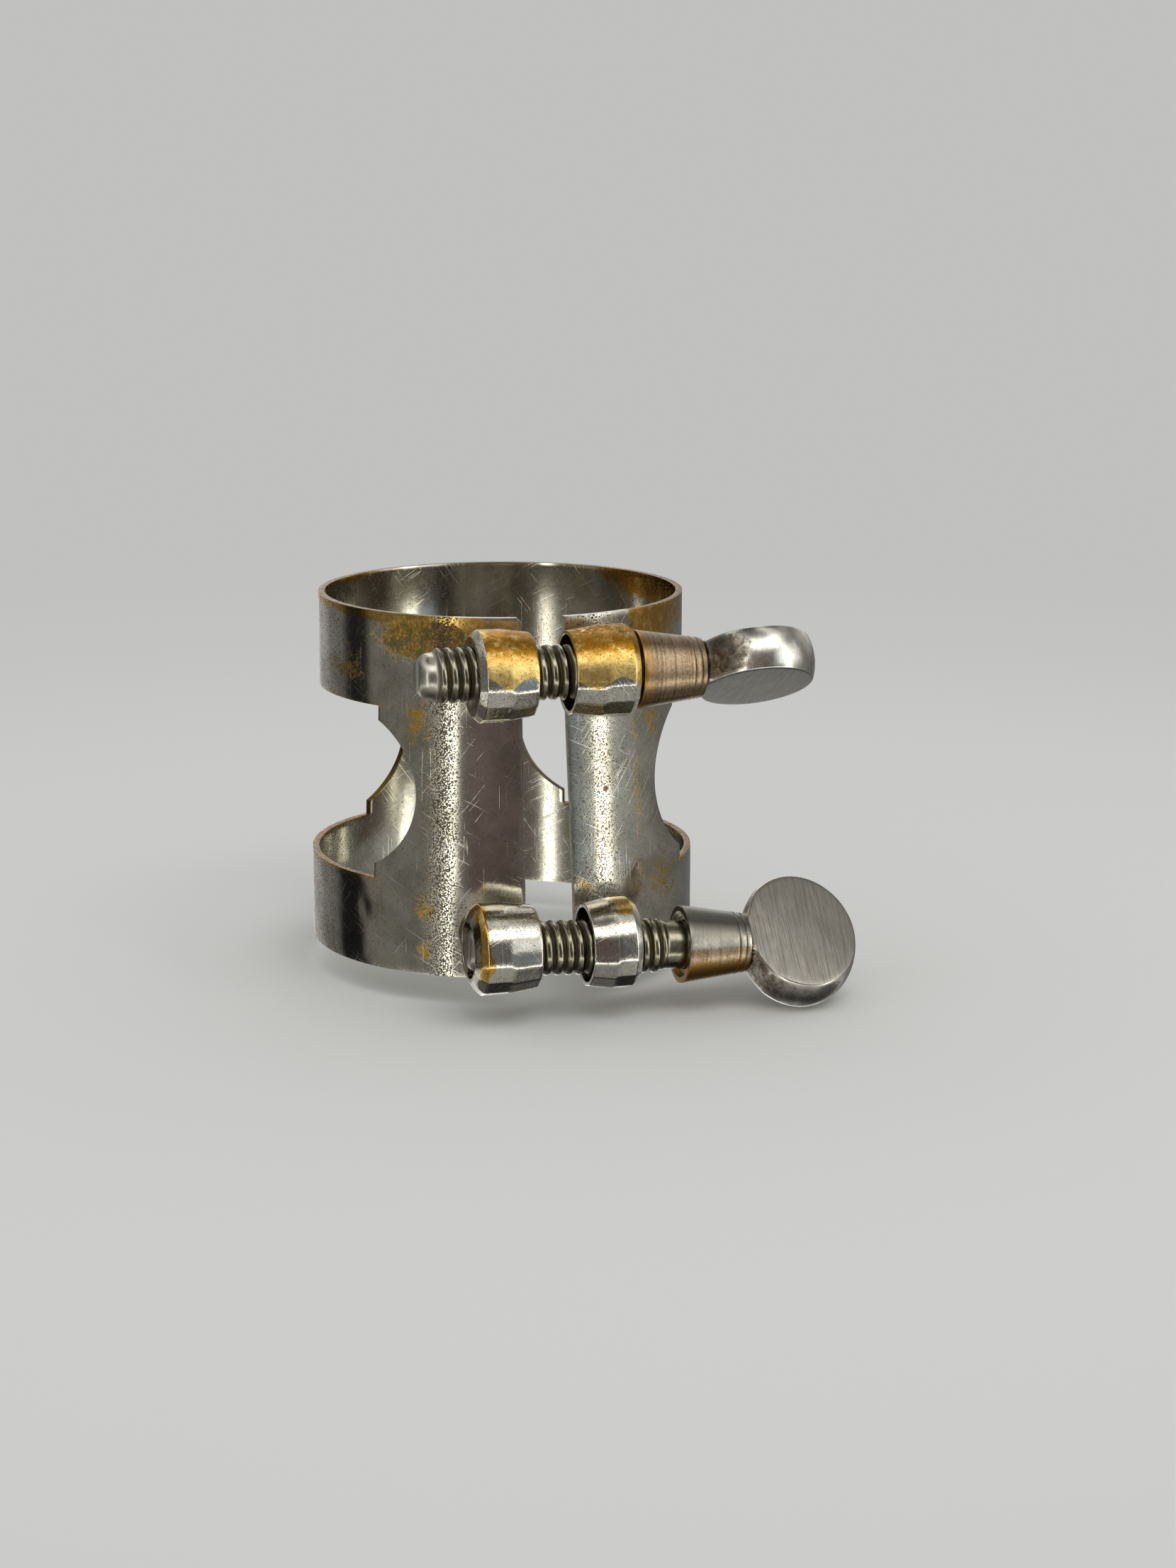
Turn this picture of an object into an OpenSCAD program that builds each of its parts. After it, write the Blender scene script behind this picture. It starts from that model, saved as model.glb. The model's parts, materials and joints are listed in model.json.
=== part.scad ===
// Two-screw reed ligature for a clarinet-size mouthpiece.
// The origin is on the bore axis, in the plane of the lower band's bottom edge.
// +Z runs up the bore towards the narrow end. The opening, the posts and the screws are on the -Y side,
// and the screw heads point towards +X.

/* [Band] */
// Outside diameter of the lower, wider band
lower_band_od = 29.7; // [28.5:0.1:31]
// Outside diameter of the upper, narrower band
upper_band_od = 28.1; // [27.5:0.1:28.4]
// Thickness of the sheet that the band is stamped from
sheet = 0.5; // [0.4:0.05:0.6]
// Height from the bottom edge to the top edge
band_height = 27; // [26:0.5:30]
// Height of the lower band below the side windows
lower_band_height = 6.9; // [6:0.1:8]
// Height of the upper band above the side windows
upper_band_height = 7.1; // [6:0.1:8]

/* [Opening and windows] */
// Distance of the left panel's edge from the centre plane
gap_left = 1.8; // [1.5:0.1:1.8]
// Distance of the right panel's edge from the centre plane at the top
gap_right_top = 1.4; // [1.2:0.1:1.6]
// Distance of the right panel's edge from the centre plane at the bottom
gap_right_bottom = 2.15; // [1.6:0.05:2.2]
// Corner cut off the top of the left panel
panel_corner_cut = 0.4; // [0.2:0.1:0.6]
// Angle round the band from the opening to a window's square front corners
window_front_angle = 54; // [52:1:58]
// Angle round the band from the opening to a window's square rear corners
window_rear_angle = 145.5; // [140:0.5:148]
// Radius of the round punch that shapes both ends of a window
punch_r = 6; // [5.6:0.1:6.2]
// Angle from a window's square corners to the centre of the round punch
punch_inset_angle = 10.3; // [9:0.1:12]

/* [Posts] */
// Radius of a post
post_r = 3.38; // [3.2:0.02:3.5]
// Radius of a post at its end beside the opening
post_inner_r = 3.08; // [2.9:0.02:3.15]
// Chamfer at a post's outer end
post_chamfer = 0.5; // [0.3:0.05:0.6]
// Outer and inner end of the upper threaded post, left of the centre plane
upper_threaded_post_x = [-6.35, -1.95];
// Outer and inner end of the lower threaded post, left of the centre plane
lower_threaded_post_x = [-6.9, -1.95];
// Radius of the narrow end face of the lower threaded post
narrow_end_r = 2.35; // [2.3:0.05:2.6]
// Inner and outer end of the upper clearance post, right of the centre plane
upper_clearance_post_x = [0.75, 5.55];
// Inner and outer end of the lower clearance post, right of the centre plane
lower_clearance_post_x = [1.85, 5.55];
// Radius of the hollow inside a clearance post
clearance_post_bore_r = 2.75; // [2.6:0.05:2.8]
// Thickness of a clearance post's end wall, which the collar bears on
end_wall = 0.9; // [0.7:0.1:1.2]
// Radius of the hole in the end wall
end_wall_hole_r = 2.45; // [2.4:0.05:2.5]
// Distance of the upper posts' axis in front of the bore axis
upper_post_y = 17; // [16.9:0.05:17.1]
// Distance of the lower posts' axis in front of the bore axis
lower_post_y = 17.85; // [17.75:0.05:17.95]
// Height of the upper posts' axis
upper_post_z = 23.4; // [23:0.05:23.6]
// Height of the lower threaded post's axis
lower_threaded_post_z = 3.32; // [3.2:0.02:3.4]
// Height of the lower clearance post's axis
lower_clearance_post_z = 3.13; // [3:0.01:3.2]
// Half height of the solder that joins a post to its panel
solder_half_height = 1.75; // [1.4:0.05:2]

/* [Screws] */
// Height of the upper screw's axis at the centre plane
upper_screw_z = 23.47; // [23.4:0.01:23.5]
// Height of the lower screw's axis at the centre plane
lower_screw_z = 3.04; // [3:0.01:3.1]
// Angle that the upper screw droops towards its thumb disc
upper_droop = 0.9; // [0:0.1:1]
// Angle that the lower screw droops towards its thumb disc
lower_droop = 2.6; // [0:0.1:2.6]
// Radius over the thread
thread_r = 2.03; // [1.95:0.01:2.1]
// Pitch of the thread
pitch = 0.82; // [0.75:0.01:0.9]
// Depth of the thread
thread_depth = 0.34; // [0.25:0.01:0.4]
// Radius of the plain part of the shank
shank_r = 1.79; // [1.7:0.01:1.8]
// Radius of the shank's end inside the thumb disc
spigot_r = 1.2; // [1:0.05:1.4]
// Length of the shank from the collar's face to the tip
shank_length = 16.15; // [15:0.05:17]
// Length of the rounded nose at the tip, in front of the thread
nose_length = 1.1; // [0.8:0.1:1.3]
// Length of plain shank next to the collar
plain_length = 1.45; // [1:0.05:2]
// Radial running clearance round the shank and the thread
running_clearance = 0.05; // [0.03:0.01:0.08]
// Radius of the collar at its face
collar_r = 2.95; // [2.8:0.05:3.1]
// Radius of the collar at the thumb disc
collar_small_r = 2.2; // [2.05:0.05:2.3]
// Length of the collar
collar_length = 5; // [4.5:0.1:5.5]
// Gap left between the tightened collar and its post
collar_gap = 0.25; // [0.1:0.05:0.4]

/* [Thumb discs] */
// Half length of a thumb disc along its screw, over the rounded rim
disc_r = 4.48; // [4.4:0.02:4.8]
// Width of a thumb disc across its screw, as a share of its length
disc_oval = 1.15; // [1:0.01:1.2]
// Radius of the rim's rounding
disc_rim_round = 4.2; // [3.5:0.1:7]
// Thickness between a thumb disc's flat faces
disc_thickness = 3.25; // [3.1:0.05:3.8]
// Distance from the collar's small end to the thumb disc's centre
disc_reach = 4.15; // [4.05:0.05:4.5]
// Turn of the upper thumb disc about its screw
upper_disc_turn = 63; // [0:0.5:180]
// Turn of the lower thumb disc about its screw
lower_disc_turn = -46.5; // [-90:0.5:90]
// Full turns that the lower screw is backed out
lower_turns_out = 4.12; // [0.1:0.01:5]

/* [Hidden] */
$fn = 96;

lower_r = lower_band_od / 2;
upper_r = upper_band_od / 2;
upper_band_z = band_height - upper_band_height;
window_mid_z = (lower_band_height + upper_band_z) / 2;
cut = 20;                               // longer than anything that it cuts through
socket_depth = 2;                       // depth of the shank's end in the thumb disc
neck_r = collar_small_r - 0.05;
fine = 360;                             // facets where thin wedges are cut
upper_collar_x = upper_clearance_post_x[1] + collar_gap;
lower_collar_x = upper_collar_x + lower_turns_out * pitch;
// Outer ends of the posts, as radius and distance from the end: a plain chamfer, and one turned down to a point.
plain_end = [[post_r - post_chamfer, 0], [post_r, post_chamfer]];
narrow_end = [[narrow_end_r, 0], [post_r - 0.38, 0.4], [post_r, 0.8]];
// Axes: a point in the centre plane, and the angle that the axis droops towards +X.
upper_post_axis = [0, -upper_post_y, upper_post_z, 0];
lower_threaded_post_axis = [0, -lower_post_y, lower_threaded_post_z, 0];
lower_clearance_post_axis = [0, -lower_post_y, lower_clearance_post_z, 0];
upper_screw_axis = [0, -upper_post_y, upper_screw_z, upper_droop];
lower_screw_axis = [0, -lower_post_y, lower_screw_z, lower_droop];
// The upper clearance post overhangs the opening, but its solder keeps to the panel.
upper_clearance_solder_x = [gap_right_top, upper_clearance_post_x[1]];
nickel = [0.70, 0.69, 0.65];
brass = [0.78, 0.58, 0.28];
tarnish = [0.45, 0.47, 0.38];
bronze = [0.58, 0.47, 0.40];

// Turns a shape drawn along +Z to run towards +X on the given axis, starting x from the centre plane.
module along_x(axis, x) {
    translate([axis[0], axis[1], axis[2]])
        rotate([0, axis[3], 0])
            translate([x, 0, 0])
                rotate([0, 90, 0])
                    children();
}

// The solid inside the band's outer surface, carried on past both edges. Posts and solder are cut to it.
module band_form() {
    rotate_extrude($fn = fine)
        polygon([
            [0, -cut], [lower_r, -cut], [lower_r, lower_band_height],
            [upper_r, upper_band_z], [upper_r, band_height + cut], [0, band_height + cut]
        ]);
}

module band_shell() {
    rotate_extrude()
        polygon([
            [lower_r - sheet, 0], [lower_r, 0], [lower_r, lower_band_height],
            [upper_r, upper_band_z], [upper_r, band_height], [upper_r - sheet, band_height],
            [upper_r - sheet, upper_band_z], [lower_r - sheet, lower_band_height]
        ]);
}

// The straight opening down the front, wider at the bottom, with the left panel's cut corner.
module front_gap() {
    rotate([90, 0, 0])
        linear_extrude(cut)
            polygon([
                [-gap_left, -1], [gap_right_bottom, -1], [gap_right_top, band_height + 1],
                [-gap_left - panel_corner_cut - 1, band_height + 1],
                [-gap_left, band_height - panel_corner_cut]
            ]);
}

// One side window: a slot round the side with a round hole punched at each end.
module side_window(side) {
    reach = cut * 2;
    angles = [window_front_angle, (window_front_angle + window_rear_angle) / 2, window_rear_angle];
    translate([0, 0, lower_band_height])
        linear_extrude(upper_band_z - lower_band_height)
            polygon(concat([[0, 0]], [for (a = angles) reach * [side * sin(a), -cos(a)]]));
    for (a = [window_front_angle + punch_inset_angle, window_rear_angle - punch_inset_angle])
        translate([0, 0, window_mid_z])
            rotate([90, 0, side * a])
                cylinder(r = punch_r, h = cut);
}

module band() {
    color(nickel)
        difference() {
            band_shell();
            front_gap();
            side_window(1);
            side_window(-1);
        }
}

// A post with the given outer end and a slight taper towards the opening, drawn from its outer end.
module post_body(length, end) {
    rotate_extrude()
        polygon(concat(
            [[0, 0]], end,
            [[post_r, length * 0.55], [post_inner_r + 0.1, length - 0.15], [post_inner_r, length], [0, length]]
        ));
}

// The solid post at the left, with a hole along the screw's axis, saddled onto its panel.
module threaded_post(axis, screw_axis, ends, end, countersink) {
    length = ends[1] - ends[0];
    hole_r = thread_r + running_clearance;
    color(brass)
        difference() {
            along_x(axis, ends[0]) post_body(length, end);
            along_x(screw_axis, ends[0] - 1) cylinder(r = hole_r, h = length + 2);
            if (countersink > 0)
                along_x(screw_axis, ends[0] - 0.2)
                    cylinder(r1 = hole_r + countersink, r2 = hole_r, h = countersink + 0.2);
            band_form();
        }
}

// The cup at the right: a tube with an end wall that the collar bears on, saddled onto its panel.
module clearance_post(axis, ends) {
    length = ends[1] - ends[0];
    color(brass)
        difference() {
            translate([ends[1], axis[1], axis[2]])
                rotate([0, -90, 0])
                    difference() {
                        post_body(length, plain_end);
                        translate([0, 0, -1]) cylinder(r = end_wall_hole_r, h = length + 2);
                        translate([0, 0, end_wall]) cylinder(r = clearance_post_bore_r, h = length);
                    }
            band_form();
        }
}

// Solder that fills the wedge between a panel and a post, between the post's ends.
module solder(axis, ends) {
    inset = post_chamfer + 0.1;
    color(tarnish)
        difference() {
            translate([ends[0] + inset, axis[1], axis[2] - solder_half_height])
                cube([ends[1] - ends[0] - 2 * inset, post_r + sheet * 4, solder_half_height * 2]);
            along_x(axis, ends[0] - 1) cylinder(r = post_r, h = ends[1] - ends[0] + 2, $fn = fine);
            band_form();
        }
}

// The shank, drawn from its tip: blunt nose, thread as a ring for each turn, plain part, socketed end.
module shank(axis, collar_x) {
    root_r = thread_r - thread_depth;
    threaded_length = shank_length - plain_length;
    turns = floor((threaded_length - nose_length) / pitch);
    first = threaded_length - turns * pitch;
    full_length = shank_length + collar_length + running_clearance + socket_depth;
    ring = [[0, 0], [0.3, 1], [0.55, 1], [0.85, 0]];    // share of the pitch, share of the depth
    color(nickel)
        along_x(axis, collar_x - shank_length)
            rotate_extrude()
                polygon(concat(
                    [[0, 0], [root_r * 0.68, 0], [root_r * 0.76, nose_length * 0.07],
                     [root_r * 0.95, nose_length * 0.5], [root_r, nose_length]],
                    [for (i = [0:turns - 1]) for (p = ring)
                        [root_r + thread_depth * p[1], first + (i + p[0]) * pitch]],
                    [[root_r, threaded_length], [shank_r, threaded_length + 0.12],
                     [shank_r, full_length - socket_depth],
                     [spigot_r, full_length - socket_depth], [spigot_r, full_length], [0, full_length]]
                ));
}

// The tapered collar, with a shallow recess in its face and a turned groove near its small end.
module collar(axis, collar_x) {
    groove_at = collar_length - 0.55;
    groove_r = collar_r + (collar_small_r - collar_r) * groove_at / collar_length;
    color(bronze)
        along_x(axis, collar_x)
            difference() {
                rotate_extrude()
                    polygon([
                        [shank_r + running_clearance, 0], [collar_r - 0.12, 0], [collar_r, 0.12],
                        [groove_r, groove_at], [groove_r - 0.06, groove_at + 0.06],
                        [groove_r - 0.02, groove_at + 0.12],
                        [collar_small_r, collar_length], [shank_r + running_clearance, collar_length]
                    ]);
                translate([0, 0, -0.01]) cylinder(r1 = shank_r + 0.6, r2 = shank_r + 0.3, h = 0.3);
            }
}

// The thumb disc: slightly oval, with flat faces, a rounded rim, and a short neck that takes the shank's end.
module thumb_disc(axis, collar_x, turn) {
    start = collar_x + collar_length + running_clearance;
    reach = disc_reach - running_clearance;
    round_x = disc_r - disc_rim_round;
    color(nickel)
        difference() {
            along_x(axis, start + reach)
                rotate([0, -90, 0])
                    rotate([turn - 90, 0, 0])
                        intersection() {
                            union() {
                                scale([1, disc_oval, 1])
                                    rotate_extrude()
                                        intersection() {
                                            translate([round_x, 0]) circle(disc_rim_round);
                                            translate([0, -cut / 2]) square(cut);
                                        }
                                rotate([0, -90, 0]) cylinder(r = neck_r, h = reach + 1);
                            }
                            cube([cut, cut, disc_thickness], center = true);
                        }
            along_x(axis, start - 2) cylinder(r = collar_r, h = 2);
            along_x(axis, start - 1) cylinder(r = spigot_r, h = 1 + socket_depth);
        }
}

band();
threaded_post(upper_post_axis, upper_screw_axis, upper_threaded_post_x, plain_end, 0.5);  // upper_threaded_post
clearance_post(upper_post_axis, upper_clearance_post_x);  // upper_clearance_post
threaded_post(lower_threaded_post_axis, lower_screw_axis, lower_threaded_post_x, narrow_end, 0);  // lower_threaded_post
clearance_post(lower_clearance_post_axis, lower_clearance_post_x);  // lower_clearance_post
solder(upper_post_axis, upper_threaded_post_x);  // upper_threaded_post_solder
solder(upper_post_axis, upper_clearance_solder_x);  // upper_clearance_post_solder
solder(lower_threaded_post_axis, lower_threaded_post_x);  // lower_threaded_post_solder
solder(lower_clearance_post_axis, lower_clearance_post_x);  // lower_clearance_post_solder
shank(upper_screw_axis, upper_collar_x);  // upper_screw_shank
collar(upper_screw_axis, upper_collar_x);  // upper_screw_collar
thumb_disc(upper_screw_axis, upper_collar_x, upper_disc_turn);  // upper_thumb_disc
shank(lower_screw_axis, lower_collar_x);  // lower_screw_shank
collar(lower_screw_axis, lower_collar_x);  // lower_screw_collar
thumb_disc(lower_screw_axis, lower_collar_x, lower_disc_turn);  // lower_thumb_disc
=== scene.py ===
import json
import math

import bmesh
import bpy
import numpy as np
from mathutils import Matrix, Vector, noise


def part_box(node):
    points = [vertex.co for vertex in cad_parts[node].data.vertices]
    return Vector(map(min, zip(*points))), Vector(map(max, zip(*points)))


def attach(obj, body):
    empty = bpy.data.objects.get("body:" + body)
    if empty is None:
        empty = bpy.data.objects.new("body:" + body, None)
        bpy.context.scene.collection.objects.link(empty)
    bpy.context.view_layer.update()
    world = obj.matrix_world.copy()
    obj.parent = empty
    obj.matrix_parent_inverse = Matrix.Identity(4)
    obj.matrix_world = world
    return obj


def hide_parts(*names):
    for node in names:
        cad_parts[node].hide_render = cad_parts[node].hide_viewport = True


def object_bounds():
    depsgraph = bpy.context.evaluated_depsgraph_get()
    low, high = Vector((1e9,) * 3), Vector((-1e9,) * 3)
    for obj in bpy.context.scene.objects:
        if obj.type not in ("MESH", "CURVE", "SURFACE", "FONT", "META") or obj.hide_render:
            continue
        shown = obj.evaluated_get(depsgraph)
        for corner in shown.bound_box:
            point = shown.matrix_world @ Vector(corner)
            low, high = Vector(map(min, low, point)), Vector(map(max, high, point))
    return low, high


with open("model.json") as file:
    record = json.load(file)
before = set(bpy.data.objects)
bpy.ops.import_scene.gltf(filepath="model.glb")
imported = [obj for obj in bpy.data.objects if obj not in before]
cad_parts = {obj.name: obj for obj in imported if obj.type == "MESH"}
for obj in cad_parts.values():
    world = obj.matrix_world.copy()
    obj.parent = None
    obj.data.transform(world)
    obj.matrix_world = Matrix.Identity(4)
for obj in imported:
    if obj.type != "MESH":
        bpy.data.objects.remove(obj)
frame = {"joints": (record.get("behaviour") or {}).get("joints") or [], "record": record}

CAD_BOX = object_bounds()
MM = 0.001
RECORD = frame["record"]
MOUNTS = {m["name"]: m for m in RECORD["mounts"]}
JOINTS = {j["name"]: j for j in frame["joints"]}


def box_mm(node):
    """Lowest and highest corner of a CAD node, in millimetres."""
    lo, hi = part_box(node)
    return np.array(lo) / MM, np.array(hi) / MM


def smoothstep(low, high, x):
    t = np.clip((np.asarray(x, float) - low) / (high - low), 0, 1)
    return t * t * (3 - 2 * t)


def bump_at(x, centre, width):
    """A smooth hill of height 1 at centre, about width wide."""
    return np.exp(-(((np.asarray(x, float) - centre) / width) ** 2))


# -------------------- shader nodes

# A mix node's two colour inputs, among those for its other kinds of data.
MIX_COLOURS = slice(6, 8)


class Nodes:
    """Short ways to add shader nodes to one node tree."""

    def __init__(self, tree):
        self.tree = tree

    def put(self, socket, value):
        if isinstance(value, bpy.types.NodeSocket):
            self.tree.links.new(value, socket)
        else:
            socket.default_value = value

    def fill(self, node, values):
        for key, value in values.items():
            self.put(node.inputs[key], value)
        return node.outputs[0]

    def node(self, kind, *inputs, **settings):
        """A node with its first inputs filled in order and its settings given by name."""
        node = self.tree.nodes.new("ShaderNode" + kind)
        for key, value in settings.items():
            setattr(node, key, value)
        for socket, value in zip(node.inputs, inputs):
            self.put(socket, value)
        return node

    def add(self, kind, *inputs, **settings):
        return self.node(kind, *inputs, **settings).outputs[0]

    def math(self, operation, *inputs, clamp=False):
        return self.add("Math", *inputs, operation=operation, use_clamp=clamp)

    def mix(self, share, a, b, blend="MIX"):
        node = self.node("Mix", share, data_type="RGBA", blend_type=blend)
        for socket, value in zip(node.inputs[MIX_COLOURS], (a, b)):
            self.put(socket, (*value, 1) if isinstance(value, tuple) and len(value) == 3 else value)
        return node.outputs[2]

    def ramp(self, value, low, high, start=0.0, end=1.0):
        """value taken smoothly from start at low to end at high."""
        return self.add("MapRange", value, low, high, start, end, interpolation_type="SMOOTHSTEP")

    def levels(self, value, stops, half_turn):
        """A colour or grey level by angle. stops are (degrees, level) from -half_turn to half_turn."""
        node = self.node("ValToRGB", value)
        elements = node.color_ramp.elements
        for degrees, _ in stops[1:-1]:
            elements.new((degrees + half_turn) / (2 * half_turn))
        for element, (_, level) in zip(elements, stops):
            element.color = (*(level if isinstance(level, tuple) else (level,) * 3), 1)
        return node.outputs[0]


# -------------------- camera, light and floor

SENSOR, FOCAL = 36.0, 69.4
CAMERA_AT = Vector((-54.86, -224.74, 63.52)) * MM
CAMERA_YAW, CAMERA_PITCH, CAMERA_ROLL = 15.40, -12.68, 0.11


def make_camera():
    data = bpy.data.cameras.new("camera")
    data.sensor_width, data.lens = SENSOR, FOCAL
    data.clip_start, data.clip_end = 0.01, 10
    camera = bpy.data.objects.new("camera", data)
    bpy.context.scene.collection.objects.link(camera)
    yaw = Matrix.Rotation(math.radians(-CAMERA_YAW), 4, "Z")
    pitch = Matrix.Rotation(math.radians(90 + CAMERA_PITCH), 4, "X")
    roll = Matrix.Rotation(math.radians(CAMERA_ROLL), 4, "Z")
    camera.matrix_world = Matrix.Translation(CAMERA_AT) @ yaw @ pitch @ roll
    bpy.context.scene.camera = camera


PALE = (0.53, 0.535, 0.52)

# What the metal reflects, by azimuth: 0 is in front of the object (-Y), and 90 is at its right (+X).
BACK_WALL = (0.50, 0.50, 0.49)
DARK_DOOR = (0.012, 0.012, 0.013)
LEFT_WINDOW = (3.40, 3.40, 3.20)
RIGHT_WINDOW = (3.60, 3.52, 3.20)
WALLS = [
    (-180, BACK_WALL), (-158, (0.42, 0.42, 0.41)), (-150, (0.24, 0.24, 0.23)), (-132, 0.17),
    (-126, DARK_DOOR), (-107, DARK_DOOR), (-103, (0.20, 0.19, 0.18)), (-66, (0.20, 0.20, 0.19)),
    (-56, (0.16, 0.155, 0.145)), (-50.5, (0.42, 0.42, 0.40)), (-46.5, LEFT_WINDOW), (-41.5, LEFT_WINDOW),
    (-40.5, (0.16, 0.15, 0.15)), (-28, (0.17, 0.13, 0.13)), (-6, (0.13, 0.10, 0.10)),
    (12, (0.15, 0.14, 0.14)), (30, (0.27, 0.31, 0.355)), (44, (0.40, 0.455, 0.52)),
    (47, RIGHT_WINDOW), (54, RIGHT_WINDOW), (57, (0.50, 0.52, 0.53)), (80, 0.28),
    (100, (0.20, 0.20, 0.19)), (130, 0.15), (162, 0.17), (180, 1.0),
]
# The share of the walls' light by elevation: they reach from the table nearly to the ceiling.
WALLS_HEIGHT = [(-90, 0), (-42, 0), (-32, 1), (24, 1), (36, 0), (90, 0)]
# Light from the table and the ceiling by elevation, and its share by azimuth.
TABLE_AND_CEILING = [
    (-90, 0.12), (-76, 0.14), (-70, 0.22), (-60, 0.40), (-50, 0.52), (-40, 0.36),
    (-36, 2.8), (-31, 2.8), (-28, 0.1), (-21, 0.0), (24, 0.0), (32, 0.30),
    (36, 2.6), (57, 2.6), (62, 0.35), (76, 0.16), (90, 1.0),
]
FRONT_SHARE = [
    (-180, 0.25), (-100, 0.30), (-35, 0.7), (-15, 1.0), (42, 1.0),
    (56, 0.35), (72, 0.12), (140, 0.10), (180, 1.0),
]
# Extra light from a pale panel at the front right, and a little from behind and overhead.
PALE_PANEL = [(-180, 0), (20, 0), (30, 1.05), (75, 1.05), (90, 0), (180, 1)]
PALE_PANEL_HEIGHT = [(-90, 0), (-4, 0), (4, 1), (26, 1), (34, 0), (90, 1)]
EVEN_LIGHT = 0.92


def make_world():
    """The room as the metal reflects it, an even light for the floor, and a pale backdrop for the camera."""
    world = bpy.data.worlds.new("studio")
    bpy.context.scene.world = world
    world.cycles.sampling_method = "NONE"
    world.use_nodes = True
    world.node_tree.nodes.clear()
    n = Nodes(world.node_tree)
    x, y, z = n.node("SeparateXYZ", n.node("TexCoord").outputs["Generated"]).outputs
    from_front = n.math("ARCTAN2", x, n.math("MULTIPLY", y, -1.0))
    azimuth = n.math("MULTIPLY_ADD", from_front, 1 / (2 * math.pi), 0.5)
    elevation = n.math("MULTIPLY_ADD", n.math("ARCSINE", z), 1 / math.pi, 0.5)

    def around(stops):
        return n.levels(azimuth, stops, 180)

    def upwards(stops):
        return n.levels(elevation, stops, 90)

    walls = n.mix(1.0, around(WALLS), upwards(WALLS_HEIGHT), "MULTIPLY")
    above = n.mix(1.0, upwards(TABLE_AND_CEILING), around(FRONT_SHARE), "MULTIPLY")
    panel = n.math("MULTIPLY", around(PALE_PANEL), upwards(PALE_PANEL_HEIGHT))
    room = n.add("Background", n.mix(1.0, n.mix(1.0, walls, above, "ADD"), panel, "ADD"), 1.0)
    even = n.add("Background", (1, 1, 1, 1), EVEN_LIGHT)
    seen = n.add("Background", (*PALE, 1), 1.0)
    path = n.node("LightPath")
    lit = n.add("MixShader", path.outputs["Is Diffuse Ray"], room, even)
    n.node("OutputWorld", n.add("MixShader", path.outputs["Is Camera Ray"], lit, seen))


LAMP_SIZE = 0.5, 0.4
LAMP_POWER = 1.6
LAMP_FROM_MIDDLE = Vector((0.10, -0.35, 0.62))


def make_lights():
    """One large soft lamp above the front, which gives the floor its shadow."""
    data = bpy.data.lights.new("soft_lamp", "AREA")
    data.shape, data.energy = "RECTANGLE", LAMP_POWER
    data.size, data.size_y = LAMP_SIZE
    lamp = bpy.data.objects.new("soft_lamp", data)
    bpy.context.scene.collection.objects.link(lamp)
    lamp.location = (CAD_BOX[0] + CAD_BOX[1]) / 2 + LAMP_FROM_MIDDLE
    lamp.rotation_mode = "QUATERNION"
    lamp.rotation_quaternion = (-LAMP_FROM_MIDDLE).to_track_quat("-Z", "Y")
    lamp.visible_glossy = False


FLOOR_HALF = 1.6
FADE_FROM, FADE_TO = 0.05, 0.22


def make_floor():
    """A pale floor that fades into the backdrop. Glossy rays pass it, so metal reflects the room below."""
    z, far = CAD_BOX[0].z, FLOOR_HALF
    mesh = bpy.data.meshes.new("floor")
    mesh.from_pydata([(-far, -far, z), (far, -far, z), (far, far, z), (-far, far, z)], [], [(0, 1, 2, 3)])
    floor = bpy.data.objects.new("floor", mesh)
    bpy.context.scene.collection.objects.link(floor)
    material = bpy.data.materials.new("floor_paper")
    material.use_nodes = True
    material.node_tree.nodes.clear()
    n = Nodes(material.node_tree)
    from_middle = n.node("VectorMath", n.node("TexCoord").outputs["Object"], operation="LENGTH")
    fade = n.ramp(from_middle.outputs["Value"], FADE_FROM, FADE_TO)
    paper = n.add("MixShader", fade, n.add("BsdfDiffuse", (*PALE, 1)), n.add("Emission", (*PALE, 1)))
    path = n.node("LightPath")
    passes = n.math("MAXIMUM", path.outputs["Is Glossy Ray"], path.outputs["Is Shadow Ray"])
    n.node("OutputMaterial", n.add("MixShader", passes, paper, n.add("BsdfTransparent")))
    floor.data.materials.append(material)


# -------------------- material building

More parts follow.
